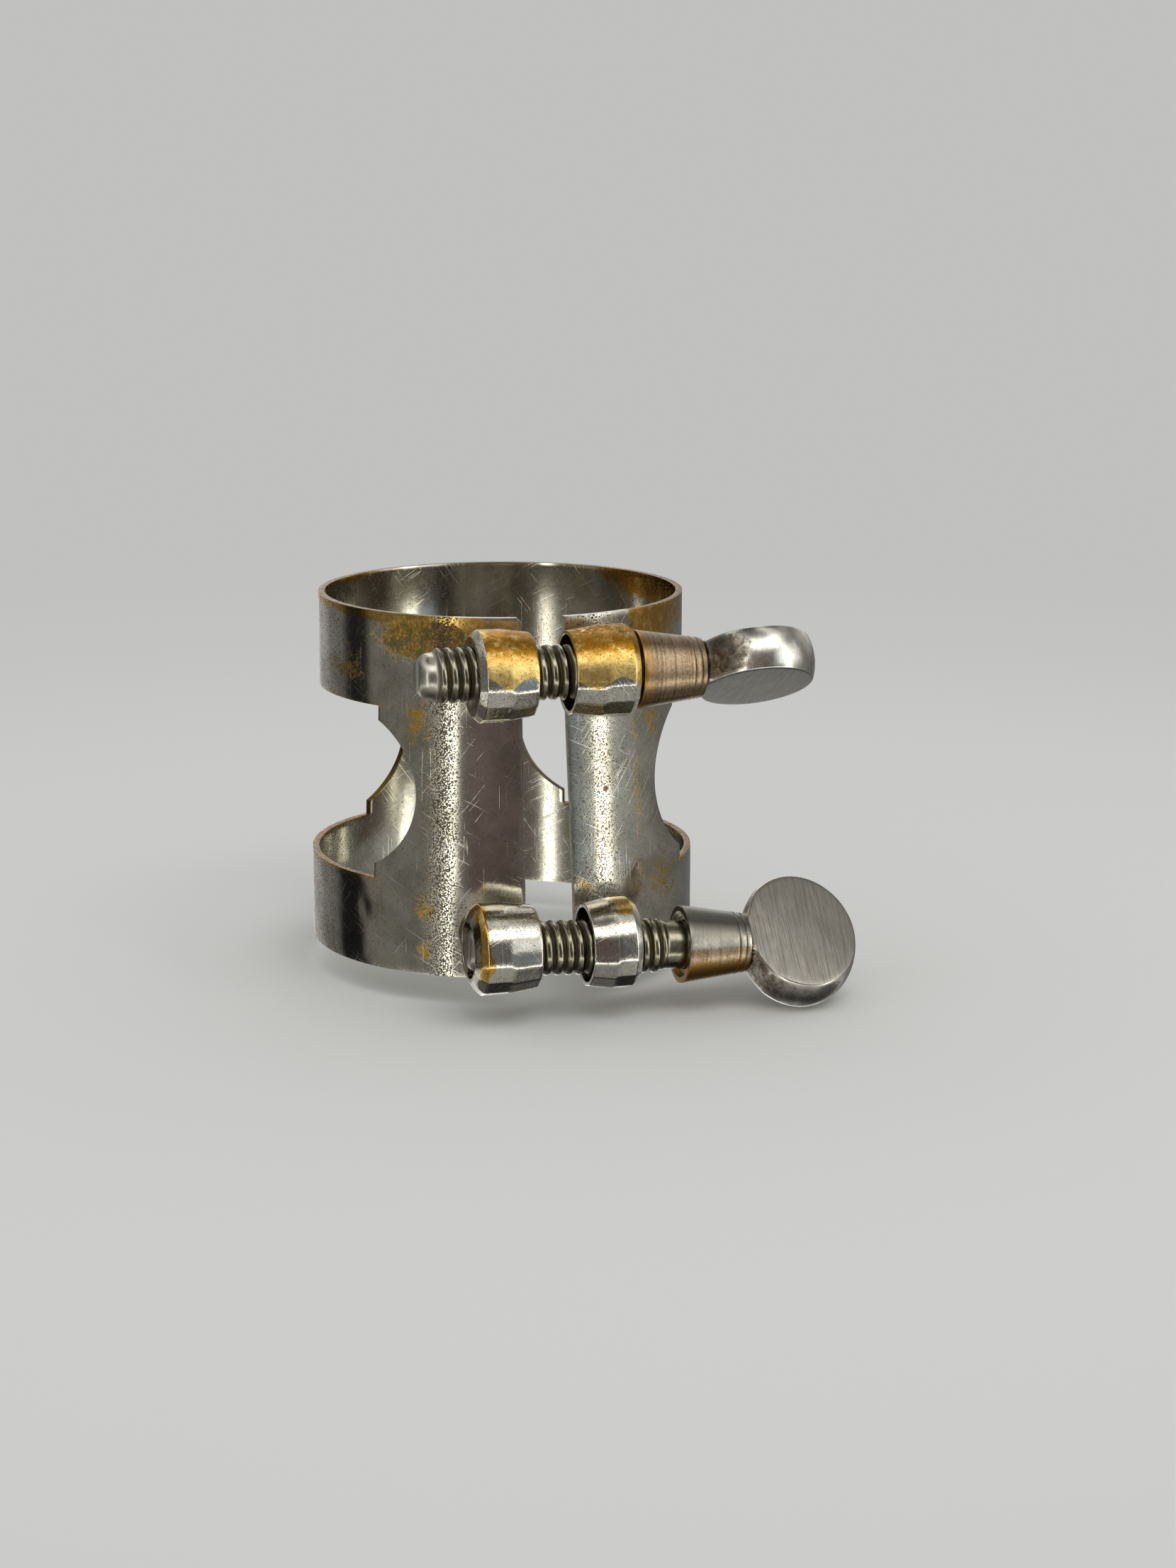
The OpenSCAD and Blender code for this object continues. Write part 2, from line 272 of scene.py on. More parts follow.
class Metal(Nodes):
    """A metal material, with coordinates, textures and per-point amounts in millimetres."""

    def __init__(self, name):
        self.material = bpy.data.materials.new(name)
        self.material.use_nodes = True
        super().__init__(self.material.node_tree)
        self.shader = self.tree.nodes["Principled BSDF"]
        self.shader.inputs["Metallic"].default_value = 1.0
        self.own = self.place("object")

    def place(self, source, scale=(1, 1, 1), turn=0):
        """The object's own coordinates or a named vector attribute, stretched, and turned about Z."""
        if source == "object":
            vector = self.node("TexCoord").outputs["Object"]
            scale = tuple(s / MM for s in scale)
        else:
            vector = self.node("Attribute", attribute_name=source).outputs["Vector"]
        node = self.node("Mapping", vector)
        node.inputs["Scale"].default_value = scale
        node.inputs["Rotation"].default_value = (0, 0, math.radians(turn))
        return node.outputs[0]

    def amount(self, name):
        return self.node("Attribute", attribute_name=name).outputs["Fac"]

    def noise(self, scale, detail=3.0, rough=0.55, distortion=0.0, place=None):
        return self.fill(self.node("TexNoise"), {
            "Vector": place or self.own, "Scale": scale, "Detail": detail, "Roughness": rough,
            "Distortion": distortion})

    def scratches(self, source, across, along, angle, level):
        """Thin straight scratches: noise stretched by across and along per millimetre, turned by angle."""
        stretched = self.node("Mapping", self.place(source, turn=angle))
        stretched.inputs["Scale"].default_value = (across, along, 1)
        return self.ramp(self.noise(1.0, 2.0, 0.5, place=stretched.outputs[0]), level, level + 0.05)

    def times(self, a, b):
        return self.math("MULTIPLY", a, b)

    def plus(self, *values):
        total = values[0]
        for value in values[1:]:
            total = self.math("ADD", total, value)
        return total

    def bump(self, height, strength, distance, normal=None):
        values = {"Height": height, "Strength": strength, "Distance": distance * MM}
        if normal is not None:
            values["Normal"] = normal
        return self.fill(self.node("Bump"), values)

    def finish(self, colour, roughness, normal):
        self.fill(self.shader, {"Base Color": colour, "Roughness": roughness, "Normal": normal})
        return self.material


NICKEL = (0.62, 0.595, 0.50)
NICKEL_DULL = (0.42, 0.395, 0.32)
BRASS = (0.80, 0.58, 0.20)
BRASS_BROWN = (0.38, 0.19, 0.035)
OCHRE = (0.42, 0.255, 0.045)
ORANGE_BROWN = (0.38, 0.175, 0.012)
OLIVE = (0.085, 0.08, 0.02)
PIT = (0.045, 0.036, 0.025)
RUST = (0.46, 0.235, 0.04)
OLD_STAINS = (0.15, 0.07, 0.010), (0.33, 0.19, 0.035)
SPOT_BROWN = (0.13, 0.075, 0.03)
SCRATCH_BRIGHT = (0.85, 0.84, 0.78)
SPOT_ANGLE, SPOT_Z = 18.8, 13.84
SPOT_R, SPOT_EDGE = 0.20, 0.08


def worn_plating(name, brass_grain=1.0, browned=RUST, hammered=0.0, brass_dullness=0.05):
    """Old nickel plate over brass. The mesh's attributes say where it is bare, stained or mirror-like."""
    n = Metal(name)
    cloud = n.noise(0.35, 4.0, 0.6)
    grain = n.noise(5.0, 3.0, 0.6)
    fine = n.noise(16.0, 2.0, 0.6)
    colour = n.mix(n.ramp(cloud, 0.35, 0.68), NICKEL, NICKEL_DULL)
    colour = n.mix(n.times(n.ramp(grain, 0.48, 0.75), 0.20), colour, NICKEL_DULL)
    # Bare brass, with browner flecks in it.
    blotch = n.plus(n.times(n.noise(0.9, 5.0, 0.65, 0.4), 0.9), n.times(grain, 0.25))
    bare = n.ramp(n.plus(n.amount("brass"), blotch), 1.02, 1.14)
    flecked = n.mix(n.ramp(n.noise(3.2 * brass_grain, 5.0, 0.7), 0.44, 0.80), BRASS, BRASS_BROWN)
    browning = n.times(n.amount("rust"), n.ramp(n.noise(1.3, 4.0, 0.65), 0.25, 0.55))
    colour = n.mix(bare, colour, n.mix(browning, flecked, browned))
    # Olive and brown patina, which is hardly metallic.
    mould = n.ramp(n.plus(n.amount("patina"), n.noise(2.2, 6.0, 0.7)), 0.95, 1.12)
    browns = n.mix(n.ramp(grain, 0.38, 0.62), *OLD_STAINS)
    stain = n.mix(n.ramp(n.noise(1.4, 5.0, 0.65), 0.40, 0.54), OLIVE, browns)
    colour = n.mix(n.times(mould, 0.97), colour, stain)
    n.shader.inputs["Specular IOR Level"].default_value = 0.12
    n.put(n.shader.inputs["Metallic"], n.ramp(mould, 0.0, 1.0, 1.0, 0.20))
    # Small ochre spots in clusters.
    clusters = n.plus(n.times(n.noise(1.1, 3.0, 0.6), 0.40), n.times(n.noise(5.0, 4.0, 0.68, 0.3), 0.70))
    spots = n.ramp(n.plus(n.amount("spots"), clusters), 1.03, 1.06)
    colour = n.mix(spots, colour, OCHRE)
    colour = n.mix(round_spot(n), colour, SPOT_BROWN)
    # Dark pits, mostly where the plating is speckled.
    pitted = n.ramp(n.plus(n.times(n.amount("speckle"), 0.18), n.noise(8.5, 3.0, 0.6)), 0.66, 0.70)
    colour = n.mix(n.times(pitted, 0.92), colour, PIT)
    # Scratches upright, slanted and crossing, on the sound plating only.
    upright = n.scratches("unrolled", 7.0, 0.16, 0, 0.66)
    slanted = n.scratches("unrolled", 7.5, 0.22, 38, 0.65)
    crossing = n.scratches("unrolled", 8.0, 0.24, -64, 0.65)
    marks = n.math("MAXIMUM", n.math("MAXIMUM", upright, slanted), crossing)
    marks = n.times(marks, n.math("SUBTRACT", 1.0, n.math("MAXIMUM", bare, mould)))
    colour = n.mix(n.times(marks, 0.40), colour, SCRATCH_BRIGHT)
    rough = n.ramp(n.amount("mirror"), 0.0, 1.0, 0.24, 0.07)
    rough = n.plus(rough, n.times(n.ramp(cloud, 0.35, 0.7), 0.04), n.times(n.ramp(fine, 0.4, 0.7), 0.03))
    rough = n.plus(rough, n.times(n.math("MAXIMUM", mould, n.math("MAXIMUM", spots, pitted)), 0.3))
    rough = n.math("ADD", rough, n.times(bare, brass_dullness), clamp=True)
    normal = n.bump(n.noise(0.55, 2.0, 0.5), 0.20, 0.04)
    if hammered:
        normal = n.bump(n.noise(2.6, 4.0, 0.65), hammered, 0.05, normal)
    relief = n.math("SUBTRACT", n.times(grain, 0.25), n.plus(pitted, spots))
    normal = n.bump(relief, 0.12, 0.010, normal)
    normal = n.bump(n.math("SUBTRACT", 1.0, marks), 0.4, 0.005, normal)
    normal = n.bump(fine, 0.10, 0.005, normal)
    return n.finish(colour, rough, normal)


def round_spot(n):
    """A small round brown spot on the unrolled surface: one on the right panel and one on each post."""
    spot = (math.radians(SPOT_ANGLE) * MID_R, SPOT_Z, 0)
    offset = n.node("VectorMath", n.place("unrolled"), spot, operation="DISTANCE")
    return n.ramp(offset.outputs["Value"], SPOT_R, SPOT_R + SPOT_EDGE, 1.0, 0.0)


def cut_edge(name):
    """The sheared edge of the sheet, with tool marks across it: browned brass, or still bright plate."""
    n = Metal(name)
    brown = n.mix(n.ramp(n.noise(1.6, 4.0, 0.6), 0.35, 0.7), (0.22, 0.12, 0.02), (0.10, 0.055, 0.015))
    bright = n.mix(n.ramp(n.noise(4.0, 3.0), 0.45, 0.7), NICKEL, NICKEL_DULL)
    share = n.ramp(n.plus(n.amount("bare_edge"), n.times(n.noise(2.6, 4.0), 0.5)), 0.55, 0.80)
    rough = n.ramp(n.noise(3.0, 3.0), 0.3, 0.7, 0.32, 0.50)
    return n.finish(n.mix(share, bright, brown), rough, n.bump(n.noise(9.0, 2.0), 0.4, 0.015))


def thread_metal(name):
    """Yellowish nickel, darkened in the thread's grooves by dirt and painted shade, and brighter at the tip.
    """
    n = Metal(name)
    # Dirt and painted shade darken the thread's grooves.
    grime_and_shade = n.ramp(n.plus(n.amount("groove"), n.times(n.noise(2.5, 4.0), 0.35)), 0.25, 0.80)
    dirt_and_shade = n.mix(n.ramp(n.noise(1.1, 3.0), 0.4, 0.62), (0.060, 0.060, 0.030), (0.10, 0.065, 0.028))
    colour = n.mix(n.ramp(n.noise(1.5, 4.0, 0.6), 0.35, 0.7), (0.30, 0.285, 0.21), (0.18, 0.16, 0.105))
    colour = n.mix(n.times(grime_and_shade, 0.92), colour, dirt_and_shade)
    colour = n.mix(n.times(n.amount("tip"), 0.6), colour, NICKEL)
    lines = n.noise(1.0, 2.0, place=n.place("around", (9.0, 0.25, 1)))
    rough = n.plus(n.ramp(grime_and_shade, 0.0, 1.0, 0.18, 0.48), n.times(lines, 0.06))
    rough = n.plus(rough, n.times(n.amount("tip"), 0.09))
    normal = n.bump(n.noise(6.0, 3.0), 0.3, 0.010, n.bump(lines, 0.2, 0.006))
    return n.finish(colour, rough, normal)


def turned_metal(name, brown):
    """The collars: fine lathe lines, with worn brown and copper-coloured plating, and painted shade
    darkening their tops.
    """
    n = Metal(name)
    lines = n.noise(1.0, 3.0, 0.6, place=n.place("around", (5.0, 0.10, 1)))
    cloud = n.noise(0.8, 5.0, 0.65)
    grain = n.noise(5.5, 4.0, 0.7)
    silver = n.mix(n.ramp(cloud, 0.35, 0.65), (0.46, 0.44, 0.38), (0.26, 0.24, 0.19))
    # Painted shade: the silver is painted darker towards the collar's top.
    silver = n.mix(n.amount("shaded_top"), silver, (0.19, 0.185, 0.15))
    mottle = n.times(n.plus(grain, lines), 0.5)
    bronze = n.mix(n.ramp(mottle, 0.40, 0.62), (0.37, 0.275, 0.175), (0.17, 0.115, 0.06))
    golden = n.ramp(n.plus(n.amount("gold"), n.times(n.noise(2.3, 4.0), 0.6)), 0.45, 0.75)
    bronze = n.mix(golden, bronze, (0.34, 0.18, 0.035))
    share = n.ramp(n.plus(n.amount("stain"), n.times(grain, 0.8)), 0.80 - brown, 1.0 - brown)
    colour = n.mix(share, silver, bronze)
    colour = n.mix(n.times(n.ramp(lines, 0.50, 0.70), 0.3), colour, (0.11, 0.085, 0.05))
    rough = n.plus(n.ramp(share, 0.0, 1.0, 0.20, 0.28), n.times(lines, 0.08))
    normal = n.bump(grain, 0.30, 0.010, n.bump(lines, 0.30, 0.010))
    return n.finish(colour, rough, normal)


def filed_metal(name):
    """The thumb discs: file lines on the faces with painted light across them, a polished rim, and brown
    tarnish near the neck.
    """
    n = Metal(name)
    face = n.amount("face")
    lines = n.noise(1.0, 3.0, 0.6, place=n.place("flat", (11.0, 0.28, 1), 14))
    strokes = n.noise(1.0, 3.0, 0.6, place=n.place("around", (6.0, 0.35, 1)))
    cloud = n.noise(0.7, 4.0, 0.6)
    grain = n.noise(5.0, 4.0, 0.65)
    plate = n.mix(n.ramp(cloud, 0.35, 0.7), (0.70, 0.68, 0.59), (0.45, 0.43, 0.37))
    # Painted light: the faces' grey level comes from a painted light amount, running from dark to light.
    filed = n.mix(n.amount("painted_light"), (0.14, 0.132, 0.112), (0.50, 0.47, 0.40))
    filed = n.mix(n.ramp(cloud, 0.3, 0.7, 0.0, 0.3), filed, (0.15, 0.14, 0.12))
    filed = n.mix(n.times(n.ramp(lines, 0.42, 0.66), 0.55), filed, (0.10, 0.092, 0.075))
    tarnish = n.mix(n.ramp(grain, 0.4, 0.65), (0.20, 0.135, 0.08), (0.06, 0.045, 0.03))
    brown = n.ramp(n.plus(n.amount("stain"), n.times(n.noise(2.0, 5.0, 0.7), 0.9)), 0.85, 1.15)
    colour = n.mix(n.times(brown, 0.9), n.mix(face, plate, filed), tarnish)
    rough = n.plus(n.ramp(face, 0.0, 1.0, 0.20, 0.36), n.times(brown, 0.15), n.times(grain, 0.06))
    normal = n.bump(n.times(lines, face), 0.6, 0.02)
    normal = n.bump(n.times(strokes, n.math("SUBTRACT", 1.0, face)), 0.5, 0.012, normal)
    normal = n.bump(grain, 0.2, 0.01, normal)
    return n.finish(colour, rough, normal)


def solder_metal(name):
    """Dull solder with brown patches."""
    n = Metal(name)
    cloud = n.noise(1.2, 5.0, 0.65)
    colour = n.mix(n.ramp(cloud, 0.35, 0.65), (0.34, 0.32, 0.24), (0.12, 0.125, 0.07))
    colour = n.mix(n.ramp(n.noise(2.8, 4.0), 0.42, 0.60), colour, (0.42, 0.27, 0.08))
    return n.finish(colour, n.ramp(cloud, 0.3, 0.7, 0.30, 0.55), n.bump(n.noise(2.5, 4.0, 0.6), 0.7, 0.06))


# -------------------- mesh building

WELD_DISTANCE = 1e-7


def build(name, points, faces, materials, body, replaced, amounts=None, vectors=None):
    """One visible piece, from points in millimetres, that rides on body in place of its CAD nodes."""
    mesh = bpy.data.meshes.new(name)
    whole_faces = [tuple(int(i) for i in face) for face in faces]
    mesh.from_pydata([tuple(p) for p in np.asarray(points) * MM], [], whole_faces)
    for key, values in (amounts or {}).items():
        layer = mesh.attributes.new(key, "FLOAT", "POINT")
        layer.data.foreach_set("value", np.asarray(values, np.float32))
    for key, values in (vectors or {}).items():
        layer = mesh.attributes.new(key, "FLOAT_VECTOR", "POINT")
        layer.data.foreach_set("vector", np.asarray(values, np.float32).ravel())
    welded = bmesh.new()
    welded.from_mesh(mesh)
    bmesh.ops.remove_doubles(welded, verts=welded.verts, dist=WELD_DISTANCE)
    bmesh.ops.recalc_face_normals(welded, faces=welded.faces)
    welded.to_mesh(mesh)
    welded.free()
    mesh.polygons.foreach_set("use_smooth", np.ones(len(mesh.polygons), bool))
    for material in materials:
        mesh.materials.append(material)
    piece = bpy.data.objects.new(name, mesh)
    bpy.context.scene.collection.objects.link(piece)
    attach(piece, body)
    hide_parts(*replaced)
    return piece


def even_shading(piece):
    modifier = piece.modifiers.new("even_shading", "WEIGHTED_NORMAL")
    modifier.keep_sharp = True
    return piece


def bend(start, corner, end, t):
    """A point on the smooth curve that leaves start towards corner and arrives at end."""
    return (1 - t) ** 2 * start + 2 * t * (1 - t) * corner + t * t * end


def fillet(outline, radius, steps=4):
    """A closed outline with each corner rounded. A point may carry its own radius as a third number."""
    rounded = []
    count = len(outline)
    for i, corner in enumerate(outline):
        here = np.array(corner[:2], float)
        before, after = (np.array(outline[(i + k) % count][:2], float) for k in (-1, 1))
        into, out = before - here, after - here
        wanted = corner[2] if len(corner) > 2 else radius
        into_length, out_length = np.linalg.norm(into), np.linalg.norm(out)
        into, out = into / into_length, out / out_length
        half = math.acos(np.clip(into @ out, -1, 1)) / 2
        if wanted <= 0 or half > math.radians(85):
            rounded.append(here)
            continue
        reach = min(wanted / math.tan(half), into_length * 0.45, out_length * 0.45)
        start, end = here + into * reach, here + out * reach
        rounded += [bend(start, here, end, k / steps) for k in range(steps + 1)]
    return np.array(rounded)


def subdivide(outline, longest):
    """Adds points to a closed outline so that no edge is longer than longest."""
    out = []
    for a, b in zip(outline, np.roll(outline, -1, axis=0)):
        pieces = max(1, math.ceil(np.linalg.norm(b - a) / longest))
        out += [a + (b - a) * k / pieces for k in range(pieces)]
    return np.array(out)


def ring_angles(sides):
    return np.arange(sides) * 2 * math.pi / sides


def ring_faces(rings, sides, closed=False):
    """Quads between rings of points, with a cap on each end unless the last ring joins the first."""
    faces = []
    for i in range(rings if closed else rings - 1):
        here, there = i * sides, (i + 1) % rings * sides
        for j in range(sides):
            k = (j + 1) % sides
            faces.append((here + j, here + k, there + k, there + j))
    if not closed:
        faces.append(tuple(range(sides))[::-1])
        faces.append(tuple(range((rings - 1) * sides, rings * sides)))
    return faces


def lathe(outline, sides, shape=None):
    """Turns a closed outline of (along, radius) about the X axis. shape may alter the radius."""
    along, angle = np.meshgrid(outline[:, 0], ring_angles(sides), indexing="ij")
    radius = np.repeat(outline[:, 1][:, None], sides, 1)
    if shape is not None:
        radius = shape(along, angle, radius)
    points = np.stack([along, radius * np.cos(angle), radius * np.sin(angle)], 2)
    around_place = np.stack([along, angle * radius.mean(), 0 * along], 2)
    faces = ring_faces(len(outline), sides, closed=True)
    return points.reshape(-1, 3), faces, radius.ravel(), around_place.reshape(-1, 3)


class Screw:
    """Where one screw lies: its collar's face and the direction of its axis, from the record's joints."""

    def __init__(self, level):
        joint = JOINTS[f"{level}_screw_turn"]
        self.level = level
        self.face = np.array(joint["pos_m"]) / MM
        self.cos, self.sin = joint["axis"][0], -joint["axis"][2]

    def place(self, points):
        """Points measured from the collar's face, with x along the axis, put where the screw lies."""
        x, y, z = np.asarray(points, float).T
        return np.stack([x * self.cos + z * self.sin, y, z * self.cos - x * self.sin], 1) + self.face

    def height_at(self, x):
        return self.face[2] - (x - self.face[0]) * self.sin / self.cos


# -------------------- band

_, BAND_HI = box_mm("band")
LOWER_MOUNT, UPPER_MOUNT = MOUNTS["lower_band_clamp"], MOUNTS["upper_band_clamp"]
SHEET = round(BAND_HI[0] - LOWER_MOUNT["dims"]["r_mm"], 2)
LOWER_R = LOWER_MOUNT["dims"]["r_mm"] + SHEET
UPPER_R = UPPER_MOUNT["dims"]["r_mm"] + SHEET
LOWER_TOP = LOWER_MOUNT["dims"]["length_mm"]
HEIGHT = BAND_HI[2]
UPPER_FOOT = HEIGHT - UPPER_MOUNT["dims"]["length_mm"]
WINDOW_MID = (LOWER_TOP + UPPER_FOOT) / 2
GAP_LEFT, GAP_RIGHT_TOP, GAP_RIGHT_BOTTOM = 1.8, 1.4, 2.15
WINDOW_FRONT, WINDOW_REAR = math.radians(54), math.radians(145.5)
PUNCH_R, PUNCH_INSET = 6.0, math.radians(10.3)
CORNER_CUT = 0.4
TOP_INSET = 0.003
RING_ROWS, WEB_ROWS = 12, 14
EDGE_ROUNDING = 0.11


def band_radius(z):
    """Outside radius at height z, with the bends between bands and webs eased."""
    heights, radii = [0, LOWER_TOP, UPPER_FOOT, HEIGHT], [LOWER_R, LOWER_R, UPPER_R, UPPER_R]
    return sum(np.interp(z + d, heights, radii) for d in (-1.2, -0.6, 0, 0.6, 1.2)) / 5


MID_R = (LOWER_R + UPPER_R) / 2
PUNCH_TURN = math.asin(PUNCH_R / MID_R)
FRONT_APEX = WINDOW_FRONT + PUNCH_INSET - PUNCH_TURN
REAR_APEX = WINDOW_REAR - PUNCH_INSET + PUNCH_TURN


def window_half_height(angle):
    """Half the height of the punched part of a window at an angle from the front."""
    centre = WINDOW_FRONT + PUNCH_INSET if angle < math.pi / 2 else WINDOW_REAR - PUNCH_INSET
    return math.sqrt(max(0.0, PUNCH_R ** 2 - (MID_R * math.sin(angle - centre)) ** 2))


def band_place(angle, z):
    """A point on the band's outside, with the slight unevenness of old rolled sheet."""
    radius = band_radius(z)
    wander = noise.noise(Vector((math.cos(angle) * 1.1, math.sin(angle) * 1.1, z * 0.06)))
    dent = bump_at(angle, math.radians(-58), 0.045) * bump_at(z, 4.4, 0.8)
    # The lower band is a little hollow beside the left post.
    hollow = bump_at(angle, math.radians(-21), 0.10) * smoothstep(8, 4, z)
    radius += 0.035 * wander - 0.01 - 0.07 * dent - 0.075 * hollow
    return np.array([radius * math.sin(angle), -radius * math.cos(angle), z])


def gap_angle(side, z):
    """Angle of a front panel's edge, with a small nick in the right one."""
    if side < 0:
        edge = GAP_LEFT + 1.0 * max(0.0, z - (HEIGHT - CORNER_CUT))
    else:
        edge = GAP_RIGHT_BOTTOM + (GAP_RIGHT_TOP - GAP_RIGHT_BOTTOM) * z / HEIGHT
        edge += 0.13 * float(bump_at(z, 12.6, 0.35))
    return math.asin(edge / band_radius(z))


def spaced(start, end, count, power=1.0, from_end=False):
    t = np.linspace(0, 1, count + 1)
    t = 1 - (1 - t) ** power if from_end else t ** power
    return start + (end - start) * t


def band_patch(side, columns, half_height):
    """Grids over one stretch of the band. Each column gives the angle at a height."""
    lower = list(spaced(0, LOWER_TOP, RING_ROWS))
    upper = list(spaced(UPPER_FOOT, HEIGHT - CORNER_CUT, RING_ROWS)) + [HEIGHT - TOP_INSET]
    grids = []
    for column in columns:
        if half_height is None:
            grids.append((lower, upper))
            continue
        reach = half_height(column(0))
        lower_web = list(spaced(LOWER_TOP, WINDOW_MID - reach, WEB_ROWS))[1:]
        upper_web = list(spaced(WINDOW_MID + reach, UPPER_FOOT, WEB_ROWS))[:-1]
        grids.append((lower + lower_web, upper_web + upper))
    points, faces, places = [], [], []
    for part in (0, 1):
        rows = len(grids[0][part])
        first = len(points)
        for column, grid in zip(columns, grids):
            for z in grid[part]:
                angle = side * column(z)
                points.append(band_place(angle, z))
                places.append((angle * MID_R, z, 0))
        for i in range(len(columns) - 1):
            for j in range(rows - 1):
                a = first + i * rows + j
                faces.append((a, a + rows, a + rows + 1, a + 1))
    return points, faces, places


def make_band(plating, edge_metal):
    """The band's outside as one sheet, thickened inwards, with its cut edges in their own metal."""
    points, faces, places = [], [], []

    def fixed(angle):
        return lambda z: angle

    def sloped(side, share):
        return lambda z: gap_angle(side, z) * (1 - share) + FRONT_APEX * share

    for side in (-1, 1):
        stretches = [
            ([sloped(side, t) for t in spaced(0, 1, 22)], lambda a: 0.0),
            ([fixed(a) for a in spaced(FRONT_APEX, WINDOW_FRONT, 20, 2.0)], window_half_height),
            ([fixed(a) for a in spaced(WINDOW_FRONT, WINDOW_REAR, 60)], None),
            ([fixed(a) for a in spaced(WINDOW_REAR, REAR_APEX, 20, 2.0, True)], window_half_height),
            ([fixed(a) for a in spaced(REAR_APEX, math.pi, 14)], lambda a: 0.0),
        ]
        for columns, half_height in stretches:
            p, f, u = band_patch(side, columns, half_height)
            faces += [[i + len(points) for i in face] for face in f]
            points += p
            places += u
    points, places = np.array(points), np.array(places)
    angle, z = np.degrees(places[:, 0] / MID_R), places[:, 1]
    amounts = band_wear(angle, z)
    band = build("band_sheet", points, faces, [plating, edge_metal], "ligature_body",
                 ["band"], amounts, {"unrolled": places})
    outward = band.data.polygons[0].normal.dot(band.data.polygons[0].center.normalized())
    if outward < 0:
        band.data.flip_normals()
    thicken = band.modifiers.new("sheet", "SOLIDIFY")
    thicken.thickness, thicken.offset = SHEET * MM, -1
    thicken.use_even_offset = True
    thicken.material_offset_rim = 1
    rounding = band.modifiers.new("worn_edges", "BEVEL")
    rounding.width, rounding.segments = EDGE_ROUNDING * MM, 3
    rounding.limit_method, rounding.angle_limit = "ANGLE", math.radians(50)
    rounding.use_clamp_overlap = True
    even_shading(band)
    return band


def patch(angle, z, centre, size):
    """A smooth hill over an area, with its centre and size as (degrees, millimetres)."""
    return bump_at(angle, centre[0], size[0]) * bump_at(z, centre[1], size[1])


def band_wear(angle, z):
    """Where the band is bare, stained, pitted or mirror-like. angle is in degrees from the front."""
    top = HEIGHT - z
    left, right = smoothstep(2, -2, angle), smoothstep(-2, 2, angle)
    away = np.abs(angle)
    # Bare brass along the upper left band's top edge, redder along the right one's, and on the ledges.
    left_arc = left * smoothstep(-16, -28, angle) * smoothstep(-170, -130, angle)
    right_arc = right * smoothstep(16, 40, angle) * smoothstep(165, 95, angle)
    brass = 0.85 * left_arc * smoothstep(1.0, 0.1, top) + 0.95 * right_arc * smoothstep(4.5, 0.2, top)
    brass += 0.75 * left * patch(angle, top, (-36, 0.6), (22, 1.6))
    brass += 0.28 * left * patch(angle, z, (-17, 8.3), (7, 1.8))
    ledge = smoothstep(40, 56, away) * smoothstep(147, 144, away)
    brass += ledge * 0.75 * smoothstep(0.45, 0.0, np.abs(z - LOWER_TOP))
    brass += ledge * 0.60 * smoothstep(0.45, 0.0, np.abs(z - UPPER_FOOT))
    rust = smoothstep(5, 1, top) * (right + 0.6 * left)
    # Patina round the upper left post, beside the lower left one, and above the upper right one.
    patina = 0.95 * left * patch(angle, top, (-38, 1.9), (22, 2.1))
    patina += 0.58 * left * patch(angle, z, (-21, 4.6), (5, 2.6))
    patina += 0.34 * right * patch(angle, top, (30, 1.5), (12, 1.3))
    # Ochre spots, in a line up each panel and in patches beside it.
    line = 0.43 * bump_at(angle, -34, 5) * smoothstep(1, 4, z) * smoothstep(0, 5, top)
    patches = 0.49 * patch(angle, z, (-40, 18.7), (9, 3.2)) + 0.54 * patch(angle, z, (-36, 4.9), (8, 2.6))
    patches += 0.50 * patch(angle, top, (-68, 4.5), (24, 3.4))
    patches += 0.50 * patch(angle, z, (-37, 1.6), (4, 1.0))
    spots = left * np.maximum(line, patches)
    line = 0.455 * bump_at(angle, 31, 5) * smoothstep(3, 6, z) * smoothstep(1, 5, top)
    patches = 0.50 * patch(angle, z, (40, 18.5), (9, 4)) + 0.515 * patch(angle, z, (42, 6.0), (15, 4.5))
    spots += right * np.maximum(line, patches)
    spots += 0.33 * smoothstep(80, 120, away)
    speckle = 1.0 * left * bump_at(angle, -31.5, 5) + 0.62 * right * bump_at(angle, 15, 10)
    speckle += 0.22 + 0.4 * left * smoothstep(-62, -78, angle) * smoothstep(-150, -110, angle)
    # Mirror-like beside the opening and low at the left, but duller next to the posts.
    mirror = 0.65 + 0.35 * left * smoothstep(-28, -22, angle) * smoothstep(120, 90, away)
    mirror += 0.35 * right * smoothstep(22, 12, angle)
    mirror += 0.35 * left * smoothstep(7.5, 6.0, z) * bump_at(angle, -62, 14)
    near_posts = smoothstep(19.0, 20.5, z) + smoothstep(7.2, 6.0, z)
    mirror *= 1 - near_posts * smoothstep(28, 22, away)
    bare_edge = smoothstep(24, 34, away) - 0.5 * right * smoothstep(1, 0, z) * smoothstep(60, 40, away)
    return {"bare_edge": bare_edge, "brass": brass, "patina": patina, "spots": spots, "speckle": speckle,
            "mirror": np.clip(mirror, 0, 1), "rust": rust}


# -------------------- posts and solder

POST_FACETS = 180
POST_CHAMFER = 0.5
POST_INNER_STEP = 0.3
NARROW_END_R = 2.35
HOLE_R, HOLLOW_R, END_WALL = 2.45, 2.75, 0.9


def post_frame(node):
    """(lowest x, highest x, radius, axis y, axis z) of a post."""
    lo, hi = box_mm(node)
    radius = (hi[2] - lo[2]) / 2
    return lo[0], hi[0], radius, lo[1] + radius, (lo[2] + hi[2]) / 2


